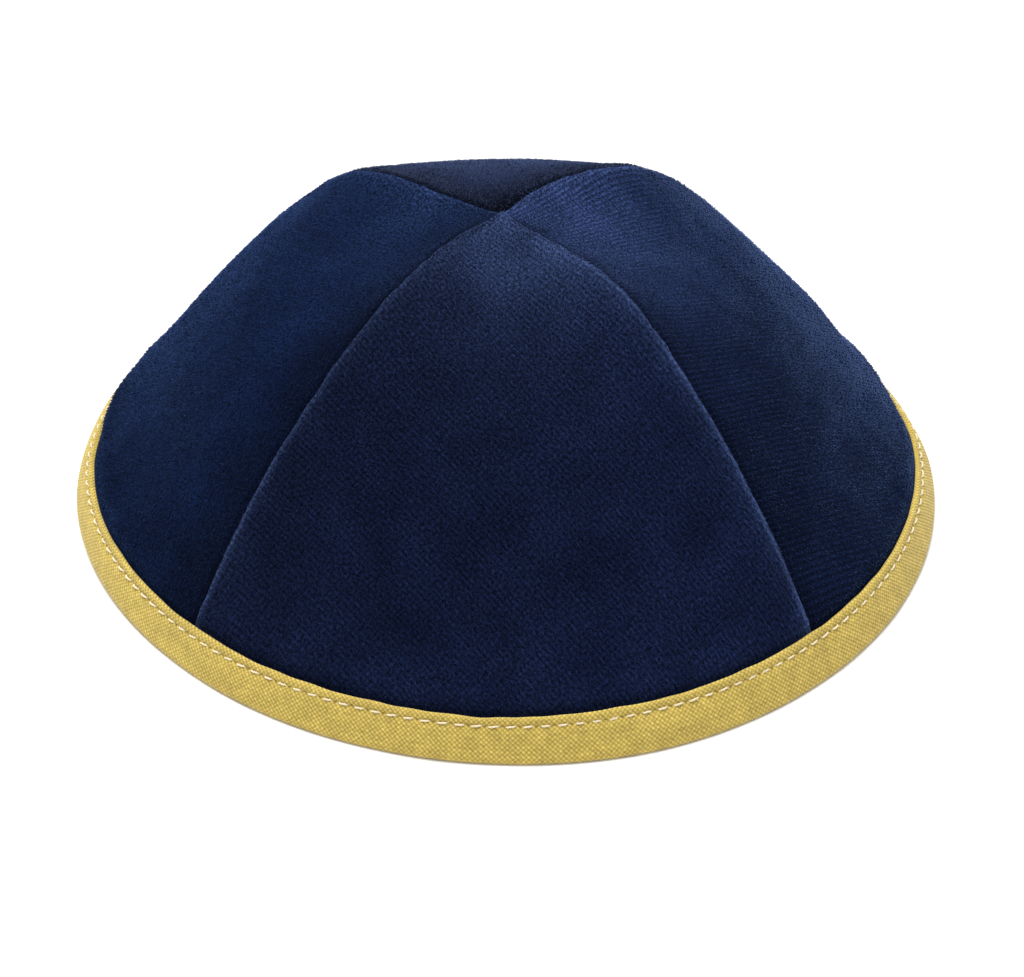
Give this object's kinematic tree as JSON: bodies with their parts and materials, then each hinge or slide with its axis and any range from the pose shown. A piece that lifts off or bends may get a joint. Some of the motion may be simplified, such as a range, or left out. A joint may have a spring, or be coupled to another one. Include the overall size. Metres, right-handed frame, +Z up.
{
  "type": "kippah skullcap",
  "caption": "Low domed velvet skullcap sewn from gores, with a bias tape folded over its round rim; it rests on the rim, hollow side down.",
  "frame": {"origin": "middle of the round rim, on the surface that the cap rests on", "axes": "+Z up through the crown, -Y towards the front panel, +X to the wearer's left as the cap is seen from the front"},
  "size_m": [0.16, 0.16, 0.0596],
  "materials": {
    "velvet": "short cut pile, soft sheen",
    "linen_tape": "plain weave cut on the bias, matte",
    "topstitch_thread": "spun sewing thread, matte"
  },
  "bodies": {
    "root": {"panel_front": "velvet", "panel_right": "velvet", "panel_back": "velvet", "panel_left": "velvet", "rim_binding": "linen_tape"}
  },
  "joints": []
}
